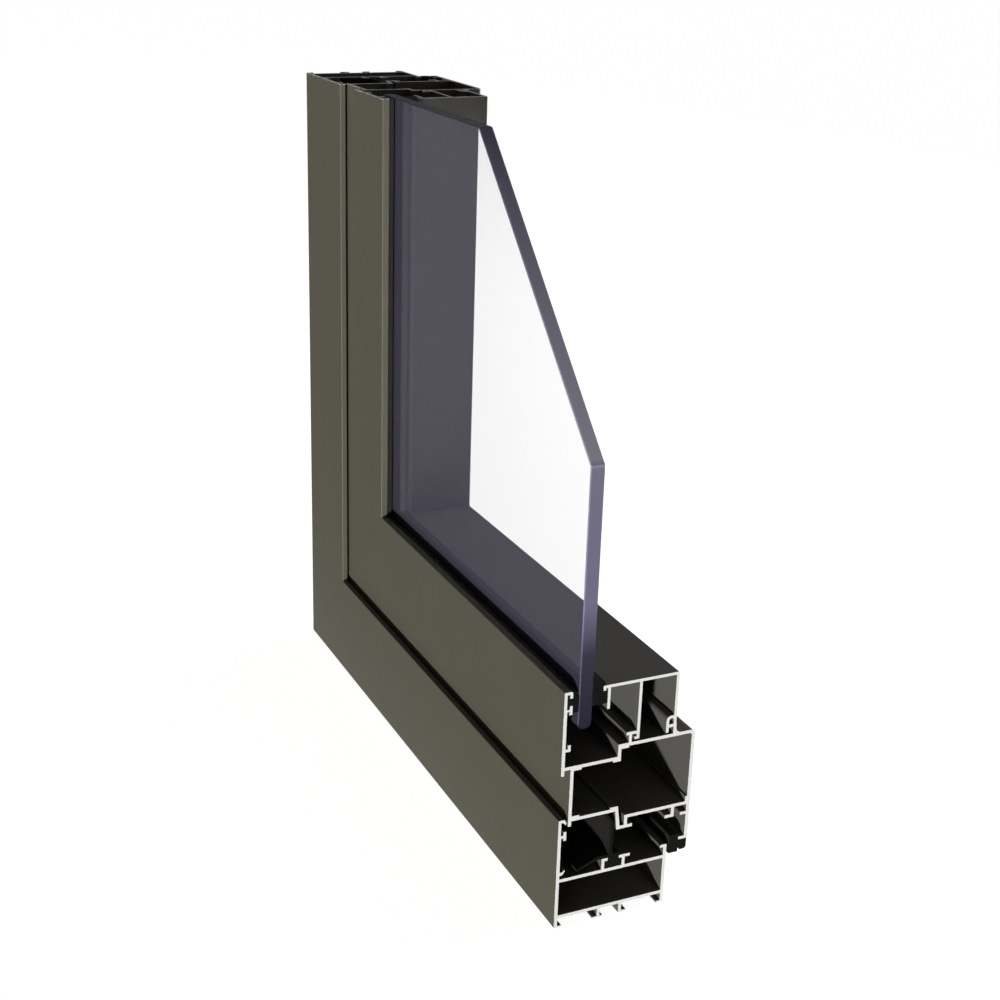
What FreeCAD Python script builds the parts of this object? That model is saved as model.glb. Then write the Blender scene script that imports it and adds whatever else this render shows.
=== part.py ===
import FreeCAD, Part
import Sketcher
import os
import re

# Corner sample of an aluminium casement window: outer frame, opening sash, glazing bead,
# glass and rubber seals, each cut square at the two free ends and mitred at the corner.
# Depth runs from the outdoor face inwards, height from the outer edge of the frame.

doc = FreeCAD.newDocument("window_corner_sample")
sheet = doc.addObject("Spreadsheet::Sheet", "sizes")

SIZES = {
    # overall, millimetres
    "rail_length": 300.0,
    "stile_height": 301.0,
    "frame_depth": 50.0,
    "frame_height": 49.5,
    "sash_overhang": 9.5,
    "mitre_margin": 6.0,
    "edge_radius": 0.4,
    # outer frame profile
    "frame_wall": 1.4,
    "nib_wall": 1.3,
    "frame_floor": 4.3,
    "frame_deck": 22.5,
    "seal_slot_height": 4.9,
    "foot_thickness": 0.8,
    "front_toe": 1.9,
    "back_toe": 1.7,
    "middle_leg_depth": 19.3,
    "middle_toe_left": 1.8,
    "middle_toe_right": 1.3,
    "leg_pitch": 9.9,
    "rear_toe": 2.2,
    "keeper_back_nib": 1.6,
    "keeper_opening": 14.0,
    "keeper_bar_right": 2.3,
    "keeper_bar_left": 1.4,
    "seal_slot_width": 7.9,
    "seal_slot_hook": 1.4,
    "low_nib_gap": 1.7,
    "low_nib_wall": 1.4,
    "low_nib_reach": 1.1,
    "low_nib_tip": 1.1,
    "low_nib_rise": 0.9,
    # groove for aligning corners on the front faces of frame and sash
    "key_wall": 1.2,
    "key_gap": 1.0,
    "key_bar": 1.2,
    "frame_key_drop": 8.2,
    "frame_key_below": 1.3,
    "frame_key_above": 1.5,
    "frame_lip_wall": 1.2,
    "frame_lip_flat": 2.5,
    "frame_lip_slant": 1.0,
    "frame_lip_drop": 2.3,
    # sash profile
    "sash_wall": 1.4,
    "back_wall": 1.5,
    "hardware_gap": 12.3,
    "sash_leg_height": 8.5,
    "sash_face_drop": 2.2,
    "groove_depth": 4.5,
    "pocket_rise": 24.7,
    "flange_drop": 2.3,
    "step_rise": 5.3,
    "flange_rise": 32.4,
    "overlap_gap": 0.8,
    "back_nib_reach": 2.7,
    "sash_face_setback": 4.1,
    "groove_back_gap": 5.7,
    "groove_right_lip": 2.8,
    "groove_opening": 15.0,
    "groove_left_lip": 2.4,
    "leg_pocket": 1.9,
    "leg_lean": 0.9,
    "step_set": 0.4,
    "rib_rise": 0.8,
    "rib_width": 3.4,
    "back_rib_height": 2.4,
    "shelf_radius": 2.2,
    "shelf_inner_radius": 1.1,
    "clip_stem_set": 4.5,
    "clip_left": 1.2,
    "clip_right": 2.1,
    "clip_rise": 4.7,
    "snap_stem_set": 10.3,
    "snap_reach": 2.2,
    "snap_rise": 4.4,
    "snap_fillet": 2.4,
    "key_groove_width": 16.1,
    "key_hook_rise": 1.6,
    "sash_key_drop": 8.4,
    "sash_key_stem": 0.9,
    "sash_key_below": 1.5,
    "sash_key_above": 1.5,
    "sash_lip_drop": 2.8,
    "sash_lip_radius": 0.9,
    # glazing bead profile
    "bead_wall": 1.2,
    "bead_lip_drop": 2.1,
    "bead_leg_set": 2.0,
    "bead_leg_length": 10.3,
    "bead_toe": 0.9,
    "bead_toe_gap": 1.0,
    "bead_snap_rise": 3.8,
    "bead_snap_gap": 0.9,
    "bead_snap_outer_radius": 2.1,
    "bead_snap_inner_radius": 0.95,
    "bead_corner_radius": 0.5,
    "bead_back_set": 1.1,
    # glass pane, its free corner cut off
    "glass_thickness": 6.0,
    "glass_rise": 15.2,
    "glass_cut": 105.6,
    "glass_edge_radius": 2.6,
    "glass_arris": 0.4,
    # seals
    "outer_seal_head": 2.6,
    "outer_seal_inset": 0.3,
    "outer_seal_shoulder": 1.8,
    "outer_seal_gap": 2.2,
    "outer_seal_skirt": 0.9,
    "inner_seal_width": 4.4,
    "inner_seal_depth": 7.7,
    "inner_seal_rise": 3.6,
    "inner_seal_step": 1.2,
    "inner_seal_crest": 3.2,
    "inner_seal_cover": 1.0,
    "inner_seal_barb": 1.0,
    "centre_plate_wall": 1.5,
    "centre_plate_left": 2.2,
    "centre_fin_set": 1.6,
    "centre_fin_wall": 1.6,
    "centre_fin_lean": 0.3,
    "centre_fin_bend": 4.5,
    "centre_lip_back": 3.6,
    "centre_lip_wall": 1.5,
    "centre_inner_radius": 2.0,
    "centre_outer_radius": 4.0,
    "skirt_reach": 9.0,
    "skirt_rise": 1.8,
    "skirt_wall": 0.9,
    "overlap_lobe_set": 1.2,
    "overlap_lobe_low": 5.6,
    "overlap_lobe_top": 2.8,
    "overlap_touch_low": 4.5,
    "overlap_touch_high": 2.9,
    "overlap_shoulder": 1.5,
    "overlap_notch": 0.9,
    "overlap_notch_top": 4.0,
    "overlap_head_low": 4.9,
    "overlap_head_inset": 0.3,
    "overlap_head_radius": 1.3,
    # corner cleats and flat aligning corners
    "cleat_reach": 55.0,
    "cleat_wall": 3.0,
    "cleat_clearance": 0.3,
    "key_plate_wall": 0.9,
    "key_plate_clearance": 0.3,
    "key_plate_reach": 35.0,
}

# Levels and depths that follow from the sizes above, kept as formula cells of the same sheet.
DERIVED = {
    "sash_back": "frame_depth + sash_overhang",
    "frame_back_height": "frame_deck + seal_slot_height",
    "keeper_left": "frame_depth - frame_wall - keeper_back_nib - keeper_opening",
    "keeper_stem": "keeper_left - keeper_bar_right - nib_wall",
    "seal_slot_left": "keeper_stem - seal_slot_width",
    "frame_key_stem": "frame_height - frame_key_drop",
    "low_nib_height": "frame_deck + low_nib_gap",
    "key_front": "sash_wall + key_gap",
    "key_face": "sash_wall + key_gap + key_bar",
    "sash_leg_low": "frame_back_height + hardware_gap",
    "sash_floor": "sash_leg_low + sash_leg_height",
    "groove_floor": "sash_leg_low + groove_depth",
    "pocket_floor": "sash_floor + pocket_rise",
    "sash_ceiling": "pocket_floor - sash_wall",
    "sash_shelf": "pocket_floor + step_rise",
    "sash_top": "pocket_floor + flange_rise",
    "back_leg_low": "frame_back_height + overlap_gap",
    "sash_inside": "sash_back - back_wall",
    "back_nib_tip": "sash_inside - back_nib_reach",
    "groove_right_stem": "sash_inside - groove_back_gap - sash_wall",
    "groove_right": "groove_right_stem - groove_right_lip",
    "groove_left": "groove_right - groove_opening",
    "groove_left_wall": "groove_left - groove_left_lip - sash_wall",
    "leg_foot": "groove_left_wall - leg_pocket - sash_wall",
    "leg_top": "leg_foot - leg_lean",
    "sash_step": "leg_top - step_set",
    "sash_face_inner": "sash_face_setback + sash_wall",
    "sash_step_inner": "sash_step + sash_wall",
    "clip_stem": "sash_step + clip_stem_set",
    "clip_end": "clip_stem + nib_wall + clip_right",
    "clip_top": "sash_shelf + clip_rise",
    "snap_stem": "sash_back - snap_stem_set",
    "snap_end": "snap_stem - snap_reach",
    "snap_top": "sash_shelf + snap_rise",
    "sash_key_height": "sash_top - sash_key_drop",
    "sash_key_top": "sash_key_height + sash_key_stem",
    "key_hook_top": "sash_key_height - key_groove_width",
    "bead_under": "sash_top - bead_wall",
    "bead_back": "snap_stem + bead_back_set",
    "bead_inside": "bead_back - bead_wall",
    "bead_snap_top": "snap_top + bead_snap_rise",
    "glass_front": "key_face + outer_seal_head",
    "glass_back": "glass_front + glass_thickness",
    "glass_edge": "pocket_floor + glass_rise",
    "bead_front": "glass_back + inner_seal_width",
    "bead_leg": "bead_front + bead_leg_set",
    "centre_fin": "seal_slot_left + centre_fin_set",
    "centre_bend": "sash_floor - centre_fin_bend",
    "centre_plate_top": "frame_back_height + centre_plate_wall",
    "centre_plate_end": "seal_slot_left - nib_wall - centre_plate_left",
    "overlap_lobe": "frame_depth + overlap_lobe_set",
    "overlap_head": "sash_back - overlap_head_inset",
}

for line, (alias, value) in enumerate(list(SIZES.items()) + list(DERIVED.items()), start=1):
    sheet.set("A%d" % line, alias)
    sheet.set("B%d" % line, "=" + value if alias in DERIVED else str(value))
    sheet.setAlias("B%d" % line, alias)
doc.recompute()


def cell(text):
    """Turn plain alias names in an expression into references to the spreadsheet."""
    return re.sub(r"[a-z][a-z_]*", lambda found: "sizes." + found.group(0), text)


def measure(text):
    """Value in millimetres of an expression written with alias names."""
    return float(sheet.evalExpression(cell(text)))


def draw(sketch, nodes):
    """Closed outline through nodes given as pairs of expressions, every corner held by them."""
    spots = [FreeCAD.Vector(measure(a), measure(b), 0) for a, b in nodes]
    first = sketch.GeometryCount
    count = len(nodes)
    lines = [Part.LineSegment(spots[i], spots[(i + 1) % count]) for i in range(count)]
    sketch.addGeometry(lines, False)
    joins = []
    held = []
    for i, (across, up) in enumerate(nodes):
        edge = first + i
        joins.append(Sketcher.Constraint("Coincident", edge, 2, first + (i + 1) % count, 1))
        before = nodes[i - 1]
        if i and before[0] == across:
            joins.append(Sketcher.Constraint("Vertical", edge - 1))
        elif across == "0":
            joins.append(Sketcher.Constraint("PointOnObject", edge, 1, -2))
        else:
            held.append(("DistanceX", edge, spots[i].x, across))
        if i and before[1] == up:
            joins.append(Sketcher.Constraint("Horizontal", edge - 1))
        elif up == "0":
            joins.append(Sketcher.Constraint("PointOnObject", edge, 1, -1))
        else:
            held.append(("DistanceY", edge, spots[i].y, up))
    sketch.addConstraint(joins)
    start = sketch.ConstraintCount
    sketch.addConstraint([Sketcher.Constraint(kind, -1, 1, edge, 1, value)
                          for kind, edge, value, text in held])
    for k, (kind, edge, value, text) in enumerate(held):
        sketch.setExpression("Constraints[%d]" % (start + k), cell(text))


def add_sketch(body, name, role, outlines):
    """Sketch on an origin plane of the body holding one or more closed outlines."""
    sketch = body.newObject("Sketcher::SketchObject", name)
    plane = [part for part in body.Origin.OriginFeatures if part.Role == role][0]
    sketch.AttachmentSupport = [(plane, "")]
    sketch.MapMode = "FlatFace"
    for nodes in outlines:
        draw(sketch, nodes)
    return sketch


def new_body(name):
    """Body whose corner sits so that the whole sample is centred on its footprint."""
    body = doc.addObject("PartDesign::Body", name)
    body.Label = name
    body.setExpression("Placement.Base.x", cell("-rail_length / 2"))
    body.setExpression("Placement.Base.y", cell("-sash_back / 2"))
    return body


def long_edges(body, axis, spots):
    """Names of the edges parallel to an axis that pass the given (depth, offset) spots."""
    names = []
    wanted = [(measure(depth), measure(offset)) for depth, offset in spots]
    for index, edge in enumerate(body.Tip.Shape.Edges, start=1):
        box = edge.BoundBox
        along, side, offset = ((box.XLength, box.ZLength, box.Center.z) if axis == "X"
                               else (box.ZLength, box.XLength, box.Center.x))
        for depth, height in wanted:
            if (along > 10 * (side + box.YLength + 0.1) and abs(box.Center.y - depth) < 0.02
                    and abs(offset - height) < 0.02):
                names.append("Edge%d" % index)
    if len(names) != len(spots):
        raise RuntimeError("%d edges for %d spots on %s" % (len(names), len(spots), body.Label))
    return names


def dress(body, kind, name, edges, size, radius):
    """Fillet or chamfer on named edges of the body's last feature."""
    before = body.Tip
    feature = body.newObject("PartDesign::" + kind, name)
    feature.Base = (before, edges)
    feature.setExpression(size, cell(radius))
    doc.recompute()
    return feature


def profile_arm(name, arm, outlines, rounds):
    """One arm of an extruded profile, mitred at the corner and cut square at its free end."""
    body = new_body(name)
    reach = "sash_top + mitre_margin"
    if arm == "rail":
        sketch = add_sketch(body, name + "_section", "YZ_Plane", outlines)
        length = "rail_length"
        mitre = [("0", "0"), (reach, reach), ("0", reach)]
    else:
        swapped = [[(up, across) for across, up in nodes] for nodes in outlines]
        sketch = add_sketch(body, name + "_section", "XY_Plane", swapped)
        length = "stile_height"
        mitre = [("0", "0"), (reach, "0"), (reach, reach)]
    pad = body.newObject("PartDesign::Pad", name + "_bar")
    pad.Profile = sketch
    pad.setExpression("Length", cell(length))
    doc.recompute()
    for index, (radius, spots) in enumerate(rounds):
        edges = long_edges(body, "X" if arm == "rail" else "Z", spots)
        dress(body, "Fillet", "%s_round_%d" % (name, index), edges, "Radius", radius)
    whole = body.Shape.Volume
    pocket = body.newObject("PartDesign::Pocket", name + "_mitre")
    pocket.Profile = add_sketch(body, name + "_mitre_line", "XZ_Plane", [mitre])
    pocket.Type = "ThroughAll"
    pocket.Midplane = True
    doc.recompute()
    if not body.Shape.Volume < whole:
        raise RuntimeError("mitre removed nothing from " + name)
    return body


def both_arms(name, outlines, rounds=()):
    """The same section as a lower rail and as an upright stile."""
    return [profile_arm(name + "_" + arm, arm, outlines, rounds) for arm in ("rail", "stile")]


def nib(stem, bar, base, near, far):
    """Nodes of a nib that leaves a wall at base and carries a bar between near and far."""
    nodes = [(stem[0], base)]
    if bar[0] != stem[0]:
        nodes += [(stem[0], near), (bar[0], near)]
    nodes += [(bar[0], far), (bar[1], far)]
    if bar[1] != stem[1]:
        nodes += [(bar[1], near), (stem[1], near)]
    nodes += [(stem[1], base)]
    return nodes


def sideways(nodes):
    """The same nodes for a nib that leaves an upright wall."""
    return [(depth, height) for height, depth in nodes]


def frame_section():
    """Outer frame: front face, one chamber, feet below and nibs for seal and keeper above."""
    back = "frame_depth - frame_wall"
    bar_low = "frame_back_height - nib_wall"
    outline = [("0", "0"), ("frame_wall + front_toe", "0"),
               ("frame_wall + front_toe", "foot_thickness"),
               ("frame_wall", "foot_thickness"), ("frame_wall", "frame_floor")]
    outline += nib(("middle_leg_depth", "middle_leg_depth + nib_wall"),
                   ("middle_leg_depth - middle_toe_left", "middle_leg_depth + nib_wall + middle_toe_right"),
                   "frame_floor", "foot_thickness", "0")
    rear = "middle_leg_depth + leg_pitch"
    outline += nib((rear, rear + " + nib_wall"), (rear, rear + " + nib_wall + rear_toe"),
                   "frame_floor", "foot_thickness", "0")
    outline += [(back, "frame_floor"), (back, "foot_thickness"),
                (back + " - back_toe", "foot_thickness"), (back + " - back_toe", "0"),
                ("frame_depth", "0"), ("frame_depth", "frame_back_height"),
                (back + " - keeper_back_nib", "frame_back_height"),
                (back + " - keeper_back_nib", bar_low), (back, bar_low), (back, "frame_deck")]
    outline += nib(("keeper_stem + nib_wall", "keeper_stem"),
                   ("keeper_left", "keeper_stem - keeper_bar_left"),
                   "frame_deck", bar_low, "frame_back_height")
    outline += nib(("seal_slot_left", "seal_slot_left - nib_wall"),
                   ("seal_slot_left + seal_slot_hook", "seal_slot_left - nib_wall"),
                   "frame_deck", bar_low, "frame_back_height")
    elbow_height = "low_nib_height + low_nib_wall"
    tip = "frame_wall + low_nib_reach + low_nib_tip"
    outline += [("frame_wall", "frame_deck"), ("frame_wall", "low_nib_height"),
                ("frame_wall + low_nib_reach", "low_nib_height"), (tip, elbow_height),
                (tip, elbow_height + " + low_nib_rise"),
                ("frame_wall + low_nib_reach", elbow_height), ("frame_wall", elbow_height)]
    outline += sideways(nib(("frame_key_stem", "frame_key_stem + key_bar"),
                            ("frame_key_stem - frame_key_below",
                             "frame_key_stem + key_bar + frame_key_above"),
                            "frame_wall", "frame_wall + key_gap", "frame_wall + key_gap + key_bar"))
    lip = "frame_height - frame_lip_drop"
    outline += [("key_wall", "frame_key_stem + key_bar"),
                ("key_wall", "frame_height - frame_lip_wall"),
                ("frame_lip_flat - frame_lip_wall / 2", "frame_height - frame_lip_wall"),
                ("frame_lip_flat + frame_lip_slant - frame_lip_wall / 2", lip),
                ("frame_lip_flat + frame_lip_slant", lip + " + frame_lip_wall / 2"),
                ("frame_lip_flat", "frame_height"), ("0", "frame_height")]
    low = "frame_floor + frame_wall"
    high = "frame_deck - frame_wall"
    return [outline, [("frame_wall", low), (back, low), (back, high), ("frame_wall", high)]]


def sash_section():
    """Opening sash: front flange with glass pocket, main chamber, fitting groove and back leg."""
    plate_top = "sash_leg_low + sash_wall"
    outline = [("0", "sash_ceiling - flange_drop"), ("sash_wall", "sash_ceiling - flange_drop"),
               ("sash_wall", "sash_ceiling"), ("sash_face_setback", "sash_ceiling"),
               ("sash_face_setback", "sash_floor - sash_face_drop"),
               ("sash_face_inner", "sash_floor - sash_face_drop"),
               ("sash_face_inner", "sash_floor"), ("leg_top", "sash_floor"),
               ("leg_foot", "sash_leg_low"), ("groove_left", "sash_leg_low"),
               ("groove_left", plate_top), ("groove_left_wall + sash_wall", plate_top),
               ("groove_left_wall + sash_wall", "groove_floor")]
    outline += nib(("groove_right_stem", "groove_right_stem + sash_wall"),
                   ("groove_right", "groove_right_stem + sash_wall"),
                   "groove_floor", plate_top, "sash_leg_low")
    outline += [("sash_inside", "groove_floor"), ("sash_inside", "sash_leg_low + nib_wall"),
                ("back_nib_tip", "sash_leg_low + nib_wall"), ("back_nib_tip", "sash_leg_low"),
                ("sash_inside", "sash_leg_low"), ("sash_inside", "back_leg_low + nib_wall"),
                ("back_nib_tip", "back_leg_low + nib_wall"), ("back_nib_tip", "back_leg_low"),
                ("sash_back", "back_leg_low"), ("sash_back", "sash_shelf")]
    outline += nib(("snap_stem + nib_wall", "snap_stem"), ("snap_stem + nib_wall", "snap_end"),
                   "sash_shelf", "snap_top - nib_wall", "snap_top")
    outline += nib(("clip_stem + nib_wall", "clip_stem"), ("clip_end", "clip_stem - clip_left"),
                   "sash_shelf", "clip_top - nib_wall", "clip_top")
    outline += [("sash_step", "sash_shelf"), ("sash_step", "pocket_floor"),
                ("sash_wall", "pocket_floor"), ("sash_wall", "key_hook_top - key_bar"),
                ("key_face", "key_hook_top - key_bar"), ("key_face", "key_hook_top + key_hook_rise"),
                ("key_front", "key_hook_top + key_hook_rise"), ("key_front", "key_hook_top"),
                ("sash_wall", "key_hook_top")]
    outline += sideways(nib(("sash_key_height", "sash_key_top"),
                            ("sash_key_height - sash_key_below", "sash_key_top + sash_key_above"),
                            "sash_wall", "key_front", "key_face"))
    outline += [("key_wall", "sash_key_top"), ("key_wall", "sash_top - key_bar"),
                ("key_front", "sash_top - key_bar"), ("key_front", "sash_top - sash_lip_drop"),
                ("key_face", "sash_top - sash_lip_drop"), ("key_face", "sash_top"), ("0", "sash_top")]
    floor = "sash_floor + sash_wall"
    front_rib = "sash_face_inner + rib_width"
    step_rib = "sash_step_inner - rib_width"
    chamber = [("sash_face_inner", floor + " + rib_rise"), (front_rib, floor + " + rib_rise"),
               (front_rib, floor), (step_rib, floor), (step_rib, floor + " + rib_rise"),
               ("sash_step_inner", floor + " + rib_rise"), ("leg_foot + sash_wall", plate_top),
               ("groove_left_wall", plate_top), ("groove_left_wall", "groove_floor + sash_wall"),
               ("sash_inside - rib_rise", "groove_floor + sash_wall"),
               ("sash_inside - rib_rise", "groove_floor + sash_wall + back_rib_height"),
               ("sash_inside", "groove_floor + sash_wall + back_rib_height"),
               ("sash_inside", "sash_shelf - sash_wall"),
               ("sash_step_inner + rib_width", "sash_shelf - sash_wall"),
               ("sash_step_inner + rib_width", "sash_shelf - sash_wall - rib_rise"),
               ("sash_step_inner", "sash_shelf - sash_wall - rib_rise"),
               ("sash_step_inner", "sash_ceiling - rib_rise"), (step_rib, "sash_ceiling - rib_rise"),
               (step_rib, "sash_ceiling"), (front_rib, "sash_ceiling"),
               (front_rib, "sash_ceiling - rib_rise"), ("sash_face_inner", "sash_ceiling - rib_rise")]
    return [outline, chamber]


def bead_section():
    """Snap-in glazing bead: top plate, short front leg, clip leg and snap hook at the back."""
    lip = "sash_top - bead_lip_drop"
    toe = "sash_shelf + bead_toe_gap"
    snap_low = "sash_shelf + bead_snap_gap"
    return [[("bead_front", "sash_top"), ("bead_front", lip), ("bead_front + bead_wall", lip),
             ("bead_front + bead_wall", "bead_under"), ("bead_leg", "bead_under"),
             ("bead_leg", "sash_top - bead_leg_length"),
             ("bead_leg + bead_wall", "sash_top - bead_leg_length"),
             ("bead_leg + bead_wall", "bead_under"), ("clip_end", "bead_under"),
             ("clip_end", toe + " + bead_wall"), ("clip_end - bead_toe", toe + " + bead_wall"),
             ("clip_end - bead_toe", toe), ("clip_end + bead_wall", toe),
             ("clip_end + bead_wall", "bead_under"), ("bead_inside", "bead_under"),
             ("bead_inside", "bead_snap_top"), ("snap_end - bead_wall", "bead_snap_top"),
             ("snap_end - bead_wall", snap_low), ("snap_end", snap_low),
             ("snap_end", "bead_snap_top - bead_wall"), ("bead_inside", "bead_snap_top - bead_wall"),
             ("bead_inside", "snap_top"), ("bead_back", "snap_top"), ("bead_back", "sash_top")]]


def outer_seal_section():
    """Seal between flange and glass, its foot held behind the lip and the nib of the flange.
    The shoulder is level with the flange and leaves a narrow gap down to where it meets the glass."""
    shoulder = "key_face + outer_seal_shoulder"
    skirt = "sash_key_height - sash_key_below + outer_seal_skirt"
    return [[("key_wall", "sash_key_top"), ("key_front", "sash_key_top"),
             ("key_front", "sash_key_top + sash_key_above"),
             ("key_face", "sash_key_top + sash_key_above"),
             ("key_face", skirt), ("glass_front", skirt), ("glass_front", "sash_top - outer_seal_gap"),
             (shoulder, "sash_top - outer_seal_gap"), (shoulder, "sash_top - outer_seal_inset"),
             ("key_face", "sash_top - outer_seal_inset"),
             ("key_face", "sash_top - sash_lip_drop"), ("key_front", "sash_top - sash_lip_drop"),
             ("key_front", "sash_top - key_bar"), ("key_wall", "sash_top - key_bar")]]


def inner_seal_section():
    """Wedge seal pressed between the glass and the glazing bead."""
    lip = "sash_top - bead_lip_drop"
    return [[("glass_back", "sash_top - inner_seal_depth"), ("bead_leg", "sash_top - inner_seal_depth"),
             ("bead_leg", lip + " - inner_seal_barb"), ("bead_front", lip), ("bead_front", "sash_top"),
             ("bead_front + inner_seal_cover", "sash_top"),
             ("bead_front + inner_seal_cover", "sash_top + inner_seal_step"),
             ("glass_back + inner_seal_crest", "sash_top + inner_seal_rise"),
             ("glass_back", "sash_top + inner_seal_rise")]]


def centre_seal_section():
    """Centre seal: foot in the frame slot, skirt over the deck and a fin up to the sash."""
    bar_low = "frame_back_height - nib_wall"
    neck_left = "seal_slot_left + seal_slot_hook"
    neck_right = "keeper_stem - keeper_bar_left"
    leaning = "centre_fin + centre_fin_lean"
    skirt_tip = "centre_plate_end - skirt_reach"
    return [[("seal_slot_left", "frame_deck"), ("keeper_stem", "frame_deck"), ("keeper_stem", bar_low),
             (neck_right, bar_low), (neck_right, "centre_plate_top"),
             ("centre_fin + centre_fin_wall", "centre_plate_top"),
             (leaning + " + centre_fin_wall", "centre_bend"),
             ("centre_fin - centre_lip_back + centre_lip_wall", "sash_floor"),
             ("centre_fin - centre_lip_back", "sash_floor"), (leaning, "centre_bend"),
             ("centre_fin", "centre_plate_top"), ("centre_plate_end", "centre_plate_top"),
             (skirt_tip, "frame_deck + skirt_rise + skirt_wall"), (skirt_tip, "frame_deck + skirt_rise"),
             ("centre_plate_end", "frame_back_height"), (neck_left, "frame_back_height"),
             (neck_left, bar_low), ("seal_slot_left", bar_low)]]


def overlap_seal_section():
    """Seal clipped round the nib of the sash back leg and touching the back of the frame."""
    lobe_low = "back_leg_low - overlap_lobe_low"
    lobe_top = "back_leg_low + overlap_lobe_top"
    touch_high = "back_leg_low - overlap_touch_high"
    notch_top = "back_leg_low - overlap_notch_top"
    head_low = "back_leg_low - overlap_head_low"
    return [[("overlap_head", "back_leg_low"), ("back_nib_tip", "back_leg_low"),
             ("back_nib_tip", lobe_top), ("overlap_lobe", lobe_top),
             ("overlap_lobe", touch_high + " + overlap_shoulder"), ("frame_depth", touch_high),
             ("frame_depth", "back_leg_low - overlap_touch_low"), ("overlap_lobe", lobe_low),
             ("back_nib_tip", lobe_low), ("back_nib_tip", notch_top),
             ("back_nib_tip + overlap_notch", notch_top), ("back_nib_tip + overlap_notch", head_low),
             ("overlap_head", head_low)]]


def flat_piece(name, outlines, front, thickness):
    """Plate cut in the plane of the window, starting at the depth named by front."""
    body = new_body(name)
    sketch = add_sketch(body, name + "_outline", "XZ_Plane", outlines)
    sketch.setExpression("AttachmentOffset.Base.z", "-(" + cell(front) + ")")
    pad = body.newObject("PartDesign::Pad", name + "_plate")
    pad.Profile = sketch
    pad.setExpression("Length", cell(thickness))
    pad.Reversed = True
    doc.recompute()
    low = body.Shape.BoundBox.YMin + measure("sash_back") / 2
    if abs(low - measure(front)) > 0.01:
        raise RuntimeError("plate starts at the wrong depth: " + name)
    return body


def elbow(low, high, reach):
    """L outline between two heights, both arms going on past the inner corner by reach."""
    end = high + " + " + reach
    return [(low, low), (end, low), (end, high), (high, high), (high, end), (low, end)]


def cleat(name, low, high, front, depth):
    """Corner cleat: hollow L block that fills the chambers of both arms."""
    near = low + " + cleat_wall"
    far = high + " - cleat_wall"
    start = high + " + cleat_wall"
    end = high + " + cleat_reach - cleat_wall"
    flat = [(start, near), (end, near), (end, far), (start, far)]
    outlines = [elbow(low, high, "cleat_reach"), flat, sideways(flat)]
    return flat_piece(name, outlines, front, depth)


def glass_pane():
    """Pane with rounded edges in the rebate, bevelled free edges and one corner cut off."""
    cut_along = "rail_length - glass_cut"
    cut_down = "stile_height - glass_cut"
    body = flat_piece("glass_pane", [[("glass_edge", "glass_edge"), ("rail_length", "glass_edge"),
                                      ("rail_length", cut_down), (cut_along, "stile_height"),
                                      ("glass_edge", "stile_height")]],
                      "glass_front", "glass_thickness")
    faces = ("glass_front", "glass_back")
    held = [(depth, "glass_edge") for depth in faces]
    dress(body, "Fillet", "glass_pane_round", long_edges(body, "X", held) + long_edges(body, "Z", held),
          "Radius", "glass_edge_radius")
    free = long_edges(body, "X", [(depth, "stile_height") for depth in faces])
    free += long_edges(body, "Z", [(depth, "rail_length") for depth in faces])
    slanted = [edge for edge in body.Tip.Shape.Edges
               if edge.BoundBox.XLength > 50 and edge.BoundBox.ZLength > 50]
    for index, edge in enumerate(body.Tip.Shape.Edges, start=1):
        if any(edge.isSame(other) for other in slanted):
            free.append("Edge%d" % index)
    dress(body, "Chamfer", "glass_pane_arris", free, "Size", "glass_arris")
    return body


def beside(spots):
    """Spots of the snap hook arch."""
    return [(depth, "bead_snap_top - bead_wall") for depth in spots]


parts = []
parts += both_arms("frame", frame_section(), [
    ("edge_radius", [("0", "0"), ("0", "frame_height"), ("frame_depth", "0"),
                     ("frame_depth", "frame_back_height")])])
parts += both_arms("sash", sash_section(), [
    ("shelf_radius", [("sash_back", "sash_shelf")]),
    ("shelf_inner_radius", [("sash_inside", "sash_shelf - sash_wall")]),
    ("snap_fillet", [("snap_stem + nib_wall", "sash_shelf")]),
    ("sash_lip_radius", [("key_face", "sash_top")]),
    ("edge_radius", [("0", "sash_top"), ("0", "sash_ceiling - flange_drop"),
                     ("sash_back", "back_leg_low")])])
parts += both_arms("bead", bead_section(), [
    ("bead_snap_outer_radius", [("snap_end - bead_wall", "bead_snap_top")]),
    ("bead_snap_inner_radius", beside(["snap_end", "bead_inside"])),
    ("bead_corner_radius", [("bead_front", "sash_top"), ("bead_back", "sash_top")])])
parts += both_arms("outer_glazing_seal", outer_seal_section())
parts += both_arms("inner_glazing_seal", inner_seal_section())
parts += both_arms("centre_seal", centre_seal_section(), [
    ("centre_outer_radius", [("centre_fin + centre_fin_lean + centre_fin_wall", "centre_bend")]),
    ("centre_inner_radius", [("centre_fin + centre_fin_lean", "centre_bend")])])
parts += both_arms("overlap_seal", overlap_seal_section(), [
    ("overlap_head_radius", [("overlap_head", "back_leg_low - overlap_head_low"),
                             ("overlap_lobe", "back_leg_low + overlap_lobe_top"),
                             ("back_nib_tip", "back_leg_low + overlap_lobe_top")])])
parts.append(glass_pane())
parts.append(cleat("frame_corner_cleat", "frame_floor + frame_wall",
                   "frame_deck - frame_wall - cleat_clearance",
                   "frame_wall", "frame_depth - 2 * frame_wall - cleat_clearance"))
parts.append(cleat("sash_corner_cleat", "sash_floor + sash_wall + rib_rise",
                   "sash_ceiling - rib_rise - cleat_clearance", "sash_face_inner",
                   "sash_inside - sash_face_inner - cleat_clearance"))
parts.append(flat_piece("frame_aligning_corner", [elbow(
    "low_nib_height + low_nib_wall + key_plate_clearance", "frame_key_stem - key_plate_clearance",
    "key_plate_reach")], "frame_wall", "key_plate_wall"))
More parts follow.
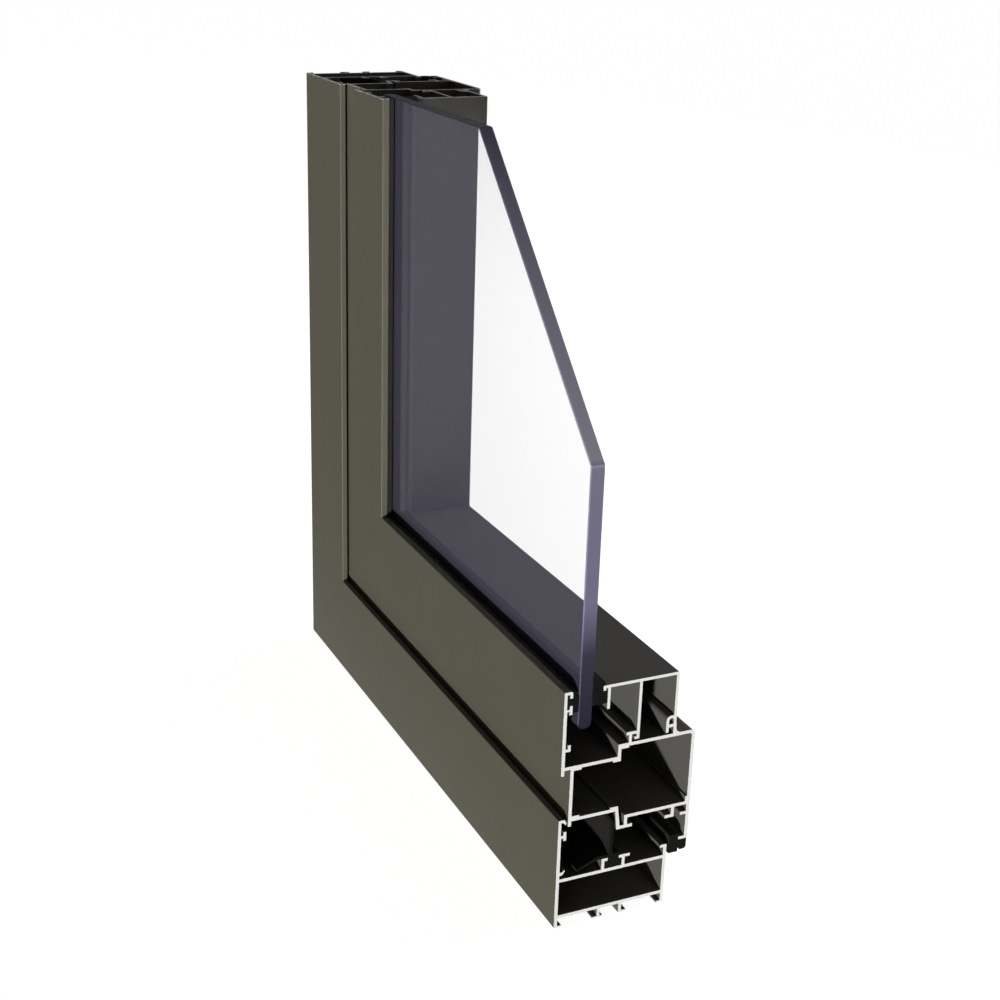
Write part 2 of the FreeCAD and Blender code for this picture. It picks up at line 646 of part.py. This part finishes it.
parts.append(flat_piece("sash_aligning_corner", [elbow(
    "key_hook_top + key_plate_clearance", "sash_key_height - key_plate_clearance",
    "key_plate_reach")], "sash_wall", "key_plate_wall"))

doc.recompute()
for item in doc.Objects:
    if "Invalid" in item.State or "Error" in item.State:
        raise RuntimeError("not computed: " + item.Name)
os.makedirs("parts", exist_ok=True)
for body in parts:
    if body.Shape.isNull() or not body.Shape.isValid():
        raise RuntimeError("bad shape: " + body.Label)
    body.Shape.exportStep("parts/%s.step" % body.Label)
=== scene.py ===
import math
import bpy
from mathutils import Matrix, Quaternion, Vector


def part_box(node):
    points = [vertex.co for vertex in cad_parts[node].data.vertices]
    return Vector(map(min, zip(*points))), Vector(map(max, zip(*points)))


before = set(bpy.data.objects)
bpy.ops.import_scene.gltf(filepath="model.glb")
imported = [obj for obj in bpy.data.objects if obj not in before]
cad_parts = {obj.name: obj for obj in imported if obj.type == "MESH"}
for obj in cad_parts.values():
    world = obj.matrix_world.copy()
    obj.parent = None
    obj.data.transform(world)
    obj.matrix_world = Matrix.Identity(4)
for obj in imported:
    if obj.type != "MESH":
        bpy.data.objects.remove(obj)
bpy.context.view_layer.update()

# Corner sample of an aluminium casement window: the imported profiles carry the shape, and
# this script gives them their finishes, the light and the camera of the photograph.
# The materials work in millimetres, and everything else is in metres.

MM = 1000.0
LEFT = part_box("frame_stile")[0].x * MM
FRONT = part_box("frame_rail")[0].y * MM
RAIL_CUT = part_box("frame_rail")[1].x * MM
STILE_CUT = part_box("frame_stile")[1].z * MM
PANE_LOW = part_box("glass_pane")[0].z * MM
PANE_MIDDLE = (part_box("glass_pane")[0].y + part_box("glass_pane")[1].y) / 2 * MM - FRONT
WHITE = (1, 1, 1, 1)


def linear(code):
    """Linear colour of an sRGB hex value."""
    parts = [int(code[i:i + 2], 16) / 255 for i in (1, 3, 5)]
    return [p / 12.92 if p <= 0.04045 else ((p + 0.055) / 1.055) ** 2.4 for p in parts] + [1.0]


def add(tree, kind, links=None, **settings):
    """One node with its settings; links maps its inputs to values or to other outputs.
    By number, Map Range takes the range 1 to 2 and gives 3 to 4, and Mix goes by input 0 from
    number 2 to number 3, or from colour 6 to colour 7."""
    made = tree.nodes.new(kind)
    for name, value in settings.items():
        setattr(made, name, value)
    for socket, source in (links or {}).items():
        if isinstance(source, bpy.types.NodeSocket):
            tree.links.new(source, made.inputs[socket])
        else:
            made.inputs[socket].default_value = source
    return made


def new_material(name):
    """Empty material and its node tree."""
    material = bpy.data.materials.new(name)
    material.use_nodes = True
    material.node_tree.nodes.clear()
    return material, material.node_tree


def section_place(tree):
    """Place in millimetres: the point, its rise above the floor, depth from the front, height
    above the outer edge of its arm, distance past the nearer saw cut (0 on the cut face) and
    the difference of the two arms' heights, which is 0 at the mitre."""
    spot = add(tree, "ShaderNodeTexCoord").outputs["Object"]
    point = add(tree, "ShaderNodeVectorMath", {0: spot, "Scale": MM}, operation="SCALE").outputs[0]
    axes = add(tree, "ShaderNodeSeparateXYZ", {0: point}).outputs
    along = add(tree, "ShaderNodeMath", {0: axes[0], 1: LEFT}, operation="SUBTRACT").outputs[0]
    depth = add(tree, "ShaderNodeMath", {0: axes[1], 1: FRONT}, operation="SUBTRACT").outputs[0]
    height = add(tree, "ShaderNodeMath", {0: along, 1: axes[2]}, operation="MINIMUM").outputs[0]
    past_rail = add(tree, "ShaderNodeMath", {0: axes[0], 1: RAIL_CUT},
                    operation="SUBTRACT").outputs[0]
    past_stile = add(tree, "ShaderNodeMath", {0: axes[2], 1: STILE_CUT},
                     operation="SUBTRACT").outputs[0]
    cut = add(tree, "ShaderNodeMath", {0: past_rail, 1: past_stile},
              operation="MAXIMUM").outputs[0]
    mitre = add(tree, "ShaderNodeMath", {0: along, 1: axes[2]}, operation="SUBTRACT").outputs[0]
    return {"point": point, "rise": axes[2], "depth": depth, "height": height, "cut": cut,
            "mitre": mitre}


def powder_coated_profile():
    """Extruded aluminium, powder coated: satin with a faint orange peel, olive grey on the
    outdoor face and greyer behind it, bare and bright where the saw went through."""
    cloud_size = 28.0
    olive_depth = 7.0
    grey_depth = 14.0
    grain_size = 0.3
    grain_share = 0.4
    joint_reach = 0.07
    tooth_pitch = 0.5
    tooth_run = 6.0
    chip_size = 0.7
    chip_least = 0.03
    chip_most = 0.4
    bare_shine = 0.2
    peel_size = 1.2
    peel_height = 0.012 / MM
    material, tree = new_material("powder_coated_profile")
    place = section_place(tree)
    point = place["point"]
    # slow change of tone over the length of a bar
    cloud = add(tree, "ShaderNodeTexNoise", {"Vector": point, "Scale": 1 / cloud_size,
                                             "Detail": 3.0}).outputs[0]
    coat = add(tree, "ShaderNodeMix", {0: cloud, 6: linear("#575447"), 7: linear("#5D5B4D")},
               data_type="RGBA").outputs[2]
    # behind the outdoor face the coat is a more neutral grey
    inward = add(tree, "ShaderNodeMapRange", {"Value": place["depth"], 1: olive_depth,
                                              2: grey_depth}).outputs[0]
    coat = add(tree, "ShaderNodeMix", {0: inward, 6: coat, 7: linear("#5F5D59")},
               data_type="RGBA").outputs[2]
    # pigment grains of the coating, drawn coarser than they are so that they show
    grain = add(tree, "ShaderNodeTexNoise", {"Vector": point, "Scale": 1 / grain_size,
                                             "Detail": 2.0}).outputs[0]
    speckle = add(tree, "ShaderNodeMath", {0: grain, 1: grain_share},
                  operation="MULTIPLY").outputs[0]
    coat = add(tree, "ShaderNodeMix", {0: speckle, 6: coat, 7: linear("#4B4940")},
               data_type="RGBA").outputs[2]
    # the joint of the mitre is a hairline of shadow 0.1 mm wide, measured across the joint
    joint = add(tree, "ShaderNodeMath", {0: place["mitre"], 1: 0.0, 2: joint_reach},
                operation="COMPARE").outputs[0]
    coat = add(tree, "ShaderNodeMix", {0: joint, 6: coat, 7: linear("#2C2A24")},
               data_type="RGBA").outputs[2]
    # saw tooth marks, which run up the cut face of the rail
    teeth_place = add(tree, "ShaderNodeVectorMath",
                      {0: point, 1: (1.0, 1 / tooth_pitch, 1 / tooth_run)},
                      operation="MULTIPLY").outputs[0]
    teeth = add(tree, "ShaderNodeTexNoise", {"Vector": teeth_place, "Scale": 1.0,
                                             "Detail": 4.0}).outputs[0]
    sawn = add(tree, "ShaderNodeMix", {0: teeth, 6: linear("#D9D9D5"), 7: linear("#F2F2EE")},
               data_type="RGBA").outputs[2]
    # the coating is chipped back along the saw cut
    chip = add(tree, "ShaderNodeTexNoise", {"Vector": point, "Scale": 1 / chip_size,
                                            "Detail": 3.0}).outputs[0]
    ragged = add(tree, "ShaderNodeMapRange", {"Value": chip, 1: 0.5, 2: 0.8, 3: chip_least,
                                              4: chip_most}).outputs[0]
    reach = add(tree, "ShaderNodeMath", {0: place["cut"], 1: ragged}, operation="ADD").outputs[0]
    bare = add(tree, "ShaderNodeMath", {0: reach, 1: 0.0}, operation="GREATER_THAN").outputs[0]
    colour = add(tree, "ShaderNodeMix", {0: bare, 6: coat, 7: sawn},
                 data_type="RGBA").outputs[2]
    # the torn, matt saw cut scatters light more than polished metal does
    metal = add(tree, "ShaderNodeMath", {0: bare, 1: bare_shine},
                operation="MULTIPLY").outputs[0]
    satin = add(tree, "ShaderNodeMapRange", {"Value": grain, 3: 0.42, 4: 0.54}).outputs[0]
    brushed = add(tree, "ShaderNodeMapRange", {"Value": teeth, 3: 0.45, 4: 0.62}).outputs[0]
    rough = add(tree, "ShaderNodeMix", {0: bare, 2: satin, 3: brushed}).outputs[0]
    # orange peel on the coat, tooth marks on the bare cut
    peel = add(tree, "ShaderNodeTexNoise", {"Vector": point, "Scale": 1 / peel_size,
                                            "Detail": 1.0}).outputs[0]
    relief = add(tree, "ShaderNodeMix", {0: bare, 2: peel, 3: teeth}).outputs[0]
    bump = add(tree, "ShaderNodeBump", {"Height": relief, "Distance": peel_height,
                                        "Strength": 0.8}).outputs[0]
    shader = add(tree, "ShaderNodeBsdfPrincipled",
                 {"Base Color": colour, "Metallic": metal, "Roughness": rough, "Normal": bump,
                  "Specular IOR Level": 0.35})
    add(tree, "ShaderNodeOutputMaterial", {"Surface": shader.outputs[0]})
    return material


def epdm_rubber():
    """Extruded EPDM seal: dull black with a dusty bloom, blacker and torn where it was cut."""
    bloom_size = 3.0
    torn_size = 0.4
    torn_height = 0.04 / MM
    end_depth = 0.05
    material, tree = new_material("epdm_rubber")
    place = section_place(tree)
    point = place["point"]
    bloom = add(tree, "ShaderNodeTexNoise", {"Vector": point, "Scale": 1 / bloom_size,
                                             "Detail": 4.0}).outputs[0]
    skin = add(tree, "ShaderNodeMix", {0: bloom, 6: linear("#1D1D1B"), 7: linear("#2E2D2A")},
               data_type="RGBA").outputs[2]
    # grains of the torn end face
    torn = add(tree, "ShaderNodeTexNoise", {"Vector": point, "Scale": 1 / torn_size,
                                            "Detail": 3.0}).outputs[0]
    face = add(tree, "ShaderNodeMix", {0: torn, 6: linear("#050604"), 7: linear("#10110D")},
               data_type="RGBA").outputs[2]
    end = add(tree, "ShaderNodeMath", {0: place["cut"], 1: -end_depth},
              operation="GREATER_THAN").outputs[0]
    colour = add(tree, "ShaderNodeMix", {0: end, 6: skin, 7: face}, data_type="RGBA").outputs[2]
    rough = add(tree, "ShaderNodeMapRange", {"Value": bloom, 3: 0.5, 4: 0.72}).outputs[0]
    bump = add(tree, "ShaderNodeBump", {"Height": torn, "Distance": torn_height,
                                        "Strength": 0.7}).outputs[0]
    shader = add(tree, "ShaderNodeBsdfPrincipled",
                 {"Base Color": colour, "Roughness": rough, "Normal": bump,
                  "Specular IOR Level": 0.12})
    add(tree, "ShaderNodeOutputMaterial", {"Surface": shader.outputs[0]})
    return material


def float_glass():
    """Float glass 6 mm thick: clear, with a faint violet painted reflection on the outdoor face,
    and ground edges painted with light and shade, dark beside the rebate and towards the top."""
    face_turn = 0.95
    painted_edge_tones = ((119, "#302E39"), (140, "#7A768E"), (194, "#7A788B"), (197, "#BAB7CB"))
    grind_size = 0.5
    grind_share = 0.25
    indoor_clear = 0.99
    outdoor_clear = 0.94
    edge_clear = 0.2
    edge_rough = 0.35
    material, tree = new_material("float_glass")
    place = section_place(tree)
    # both faces of the pane look along Y, and all that is turned away from it is edge
    facing = add(tree, "ShaderNodeNewGeometry").outputs["True Normal"]
    across = add(tree, "ShaderNodeSeparateXYZ", {0: facing}).outputs[1]
    flat = add(tree, "ShaderNodeMath", {0: across}, operation="ABSOLUTE").outputs[0]
    edge = add(tree, "ShaderNodeMath", {0: flat, 1: face_turn}, operation="LESS_THAN").outputs[0]
    # painted light and shade of the ground edge, by its rise above the floor
    share = add(tree, "ShaderNodeMapRange", {"Value": place["rise"], 1: PANE_LOW,
                                             2: STILE_CUT}).outputs[0]
    painted_edge_light = add(tree, "ShaderNodeValToRGB", {"Fac": share})
    stops = painted_edge_light.color_ramp.elements
    stops[0].color = linear("#0F0E12")
    stops[1].color = linear("#4A4859")
    for rise, tone in painted_edge_tones:
        stops.new((rise - PANE_LOW) / (STILE_CUT - PANE_LOW)).color = linear(tone)
    # grinding marks of the edge, drawn coarser than they are so that they show
    ground = add(tree, "ShaderNodeTexNoise", {"Vector": place["point"], "Scale": 1 / grind_size,
                                              "Detail": 3.0}).outputs[0]
    speck = add(tree, "ShaderNodeMapRange", {"Value": ground, 3: 0.0, 4: grind_share}).outputs[0]
    # grinding specks laid over the painted light and shade of the edge
    ground_edge_and_painted_light = add(tree, "ShaderNodeMix", {0: speck, 6: painted_edge_light.outputs[0],
                                          7: linear("#3B3945")}, data_type="RGBA").outputs[2]
    # the violet diffuse layer of the outdoor face is a painted reflection veil
    # the indoor face takes back the outdoor tint, so that white stays white through the pane
    outdoor = add(tree, "ShaderNodeMath", {0: place["depth"], 1: PANE_MIDDLE},
                  operation="LESS_THAN").outputs[0]
    tint = add(tree, "ShaderNodeMix", {0: outdoor, 6: linear("#FFFFDF"), 7: linear("#DCD9FF")},
               data_type="RGBA").outputs[2]
    colour = add(tree, "ShaderNodeMix", {0: edge, 6: tint, 7: ground_edge_and_painted_light},
                 data_type="RGBA").outputs[2]
    # less clear on the outdoor face: the rest is its violet diffuse layer, the painted reflection
    clear_beside_painted_veil = add(tree, "ShaderNodeMapRange", {"Value": outdoor, 3: indoor_clear,
                                            4: outdoor_clear}).outputs[0]
    clear = add(tree, "ShaderNodeMix", {0: edge, 2: clear_beside_painted_veil, 3: edge_clear}).outputs[0]
    rough = add(tree, "ShaderNodeMapRange", {"Value": edge, 3: 0.0, 4: edge_rough}).outputs[0]
    shader = add(tree, "ShaderNodeBsdfPrincipled",
                 {"Base Color": colour, "Transmission Weight": clear, "Roughness": rough,
                  "IOR": 1.52, "Specular Tint": linear("#C9C2FF")})
    add(tree, "ShaderNodeOutputMaterial", {"Surface": shader.outputs[0]})
    return material


def mill_aluminium():
    """Aluminium cleats as they leave the press: grey metal with die lines along the bar."""
    die_line = 0.4
    die_height = 0.01 / MM
    material, tree = new_material("mill_aluminium")
    place = section_place(tree)
    # the lines vary over the section and not along the arm
    lines = add(tree, "ShaderNodeCombineXYZ", {0: place["depth"], 1: place["height"]}).outputs[0]
    die = add(tree, "ShaderNodeTexNoise", {"Vector": lines, "Scale": 1 / die_line,
                                           "Detail": 3.0}).outputs[0]
    colour = add(tree, "ShaderNodeMix", {0: die, 6: linear("#A5A6A7"), 7: linear("#C9CACA")},
                 data_type="RGBA").outputs[2]
    rough = add(tree, "ShaderNodeMapRange", {"Value": die, 3: 0.3, 4: 0.5}).outputs[0]
    bump = add(tree, "ShaderNodeBump", {"Height": die, "Distance": die_height,
                                        "Strength": 0.6}).outputs[0]
    shader = add(tree, "ShaderNodeBsdfPrincipled",
                 {"Base Color": colour, "Roughness": rough, "Normal": bump, "Metallic": 1.0})
    add(tree, "ShaderNodeOutputMaterial", {"Surface": shader.outputs[0]})
    return material


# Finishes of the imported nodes
coated = powder_coated_profile()
rubber = epdm_rubber()
glass = float_glass()
mill = mill_aluminium()
for name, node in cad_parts.items():
    finish = coated
    if "seal" in name:
        finish = rubber
    elif name == "glass_pane":
        finish = glass
    elif "cleat" in name or "aligning" in name:
        finish = mill
    for slot in node.material_slots:
        slot.material = finish


def lookers(tree):
    """Which rays look at the stage: the eye itself, the eye through clear glass, or a mirrored
    ray. Rays that gather light for a matt surface are none of them, so white adds no light."""
    # depths count whole bounces, so half a bounce parts none from one
    half_bounce = 0.5
    rays = add(tree, "ShaderNodeLightPath").outputs
    unspread = add(tree, "ShaderNodeMath", {0: rays["Diffuse Depth"], 1: half_bounce},
                   operation="LESS_THAN").outputs[0]
    bounced = add(tree, "ShaderNodeMath", {0: rays["Glossy Depth"], 1: half_bounce},
                  operation="GREATER_THAN").outputs[0]
    mirrored = add(tree, "ShaderNodeMath", {0: bounced, 1: unspread},
                   operation="MULTIPLY").outputs[0]
    straight = add(tree, "ShaderNodeMath", {0: unspread, 1: bounced},
                   operation="SUBTRACT").outputs[0]
    through = add(tree, "ShaderNodeMath", {0: straight, 1: rays["Is Transmission Ray"]},
                  operation="MULTIPLY", use_clamp=True).outputs[0]
    return rays["Is Camera Ray"], through, mirrored


def pale_floor():
    """Pale matt floor: white to the eye and through the glass, with the sample's soft shadow.
    What the glass and the metal mirror of it is a painted glow that falls off towards the
    front, as on a floor lit from behind."""
    eye_level = 0.94
    glass_level = 1.2
    fall_front = -0.12
    fall_back = 0.03
    front_level = 0.05
    back_level = 0.5
    material, tree = new_material("pale_floor")
    eye, through, mirrored = lookers(tree)
    # to mirrored rays the paint is nearly black, so that only the fall's level is seen
    paint = add(tree, "ShaderNodeMix", {0: mirrored, 6: linear("#D2D2D0"),
                                        7: linear("#101010")}, data_type="RGBA").outputs[2]
    # painted reflection: to mirrored rays the floor glows more behind than in front
    where = add(tree, "ShaderNodeTexCoord").outputs["Object"]
    behind = add(tree, "ShaderNodeSeparateXYZ", {0: where}).outputs[1]
    fall = add(tree, "ShaderNodeMapRange", {"Value": behind, 1: fall_front, 2: fall_back,
                                            3: front_level, 4: back_level}).outputs[0]
    faded = add(tree, "ShaderNodeMath", {0: mirrored, 1: fall}, operation="MULTIPLY").outputs[0]
    plain = add(tree, "ShaderNodeMath", {0: eye, 1: eye_level}, operation="MULTIPLY").outputs[0]
    passed = add(tree, "ShaderNodeMath", {0: through, 1: glass_level},
                 operation="MULTIPLY").outputs[0]
    direct = add(tree, "ShaderNodeMath", {0: plain, 1: passed}, operation="MAXIMUM").outputs[0]
    glow = add(tree, "ShaderNodeMath", {0: faded, 1: direct}, operation="MAXIMUM").outputs[0]
    shader = add(tree, "ShaderNodeBsdfPrincipled",
                 {"Base Color": paint, "Roughness": 0.9, "Specular IOR Level": 0.0,
                  "Emission Color": WHITE, "Emission Strength": glow})
    add(tree, "ShaderNodeOutputMaterial", {"Surface": shader.outputs[0]})
    return material


# Floor, just under the feet. It casts no shadow itself, so that the lamp below shines through
# it, as through the opal sheet of a light table.
FLOOR_REACH = 6.0
FLOOR_GAP = 0.0002
corners = [(x * FLOOR_REACH, y * FLOOR_REACH, 0) for x, y in ((-1, -1), (1, -1), (1, 1), (-1, 1))]
floor_mesh = bpy.data.meshes.new("floor")
floor_mesh.from_pydata(corners, [], [(0, 1, 2, 3)])
floor_mesh.materials.append(pale_floor())
floor = bpy.data.objects.new("floor", floor_mesh)
bpy.context.scene.collection.objects.link(floor)
floor.location.z = -FLOOR_GAP
floor.visible_shadow = False

# World: a dim room, lighter overhead, and white where the eye or the glass looks past the floor
ROOM_LOW = 0.03
ROOM_HIGH = 0.09
SKY_THROUGH_GLASS = 1.25
SKY_MIRRORED = 0.12
world = bpy.data.worlds.new("studio")
world.use_nodes = True
bpy.context.scene.world = world
tree = world.node_tree
tree.nodes.clear()
toward = add(tree, "ShaderNodeTexCoord").outputs["Generated"]
up = add(tree, "ShaderNodeSeparateXYZ", {0: toward}).outputs[2]
room = add(tree, "ShaderNodeMapRange", {"Value": up, 1: 0.0, 2: 0.5, 3: ROOM_LOW,
                                        4: ROOM_HIGH}).outputs[0]
eye, through, mirrored = lookers(tree)
passed = add(tree, "ShaderNodeMath", {0: through, 1: SKY_THROUGH_GLASS},
             operation="MULTIPLY").outputs[0]
direct = add(tree, "ShaderNodeMath", {0: eye, 1: passed}, operation="MAXIMUM").outputs[0]
sheen = add(tree, "ShaderNodeMath", {0: mirrored, 1: SKY_MIRRORED},
            operation="MULTIPLY").outputs[0]
seen = add(tree, "ShaderNodeMath", {0: direct, 1: sheen}, operation="MAXIMUM").outputs[0]
level = add(tree, "ShaderNodeMath", {0: seen, 1: room}, operation="MAXIMUM").outputs[0]
sky = add(tree, "ShaderNodeBackground", {"Strength": level, "Color": WHITE})
add(tree, "ShaderNodeOutputWorld", {"Surface": sky.outputs[0]})


def hang(name, lamp, place, target):
    """Lamp hung at a place and turned to shine at a target."""
    holder = bpy.data.objects.new(name, lamp)
    holder.location = place
    holder.rotation_mode = "QUATERNION"
    holder.rotation_quaternion = (Vector(target) - Vector(place)).to_track_quat("-Z", "Y")
    bpy.context.scene.collection.objects.link(holder)


# Key lamp, low in front of the cut end and shining upwards through the floor
key = bpy.data.lights.new("key_lamp", "SUN")
key.energy = 4.5
key.angle = math.radians(5.0)
hang("key_lamp", key, place=(1.0, -0.96, -0.5), target=(0, 0, 0))

# Soft fill behind and above the sample, for the sides that the key lamp leaves dark
fill = bpy.data.lights.new("back_softbox", "AREA")
fill.shape = "SQUARE"
fill.size = 0.9
fill.energy = 17.0
hang("back_softbox", fill, place=(-0.15, 1.5, 0.6), target=(0, 0, 0.15))

# Camera of the photograph, worked out from the vanishing points of the two arms
AZIMUTH = math.radians(64.70)
ELEVATION = math.radians(20.63)
ROLL = math.radians(1.77)
back = Vector((math.sin(AZIMUTH) * math.cos(ELEVATION), -math.cos(AZIMUTH) * math.cos(ELEVATION),
               math.sin(ELEVATION)))
lens = bpy.data.cameras.new("photo_camera")
lens.sensor_width = 36.0
lens.lens = 58.78
camera = bpy.data.objects.new("photo_camera", lens)
camera.location = (0.6367, -0.2894, 0.3898)
camera.rotation_mode = "QUATERNION"
camera.rotation_quaternion = Quaternion(back, ROLL) @ (-back).to_track_quat("-Z", "Y")
bpy.context.scene.collection.objects.link(camera)
bpy.context.scene.camera = camera
bpy.context.scene.view_settings.view_transform = "Standard"
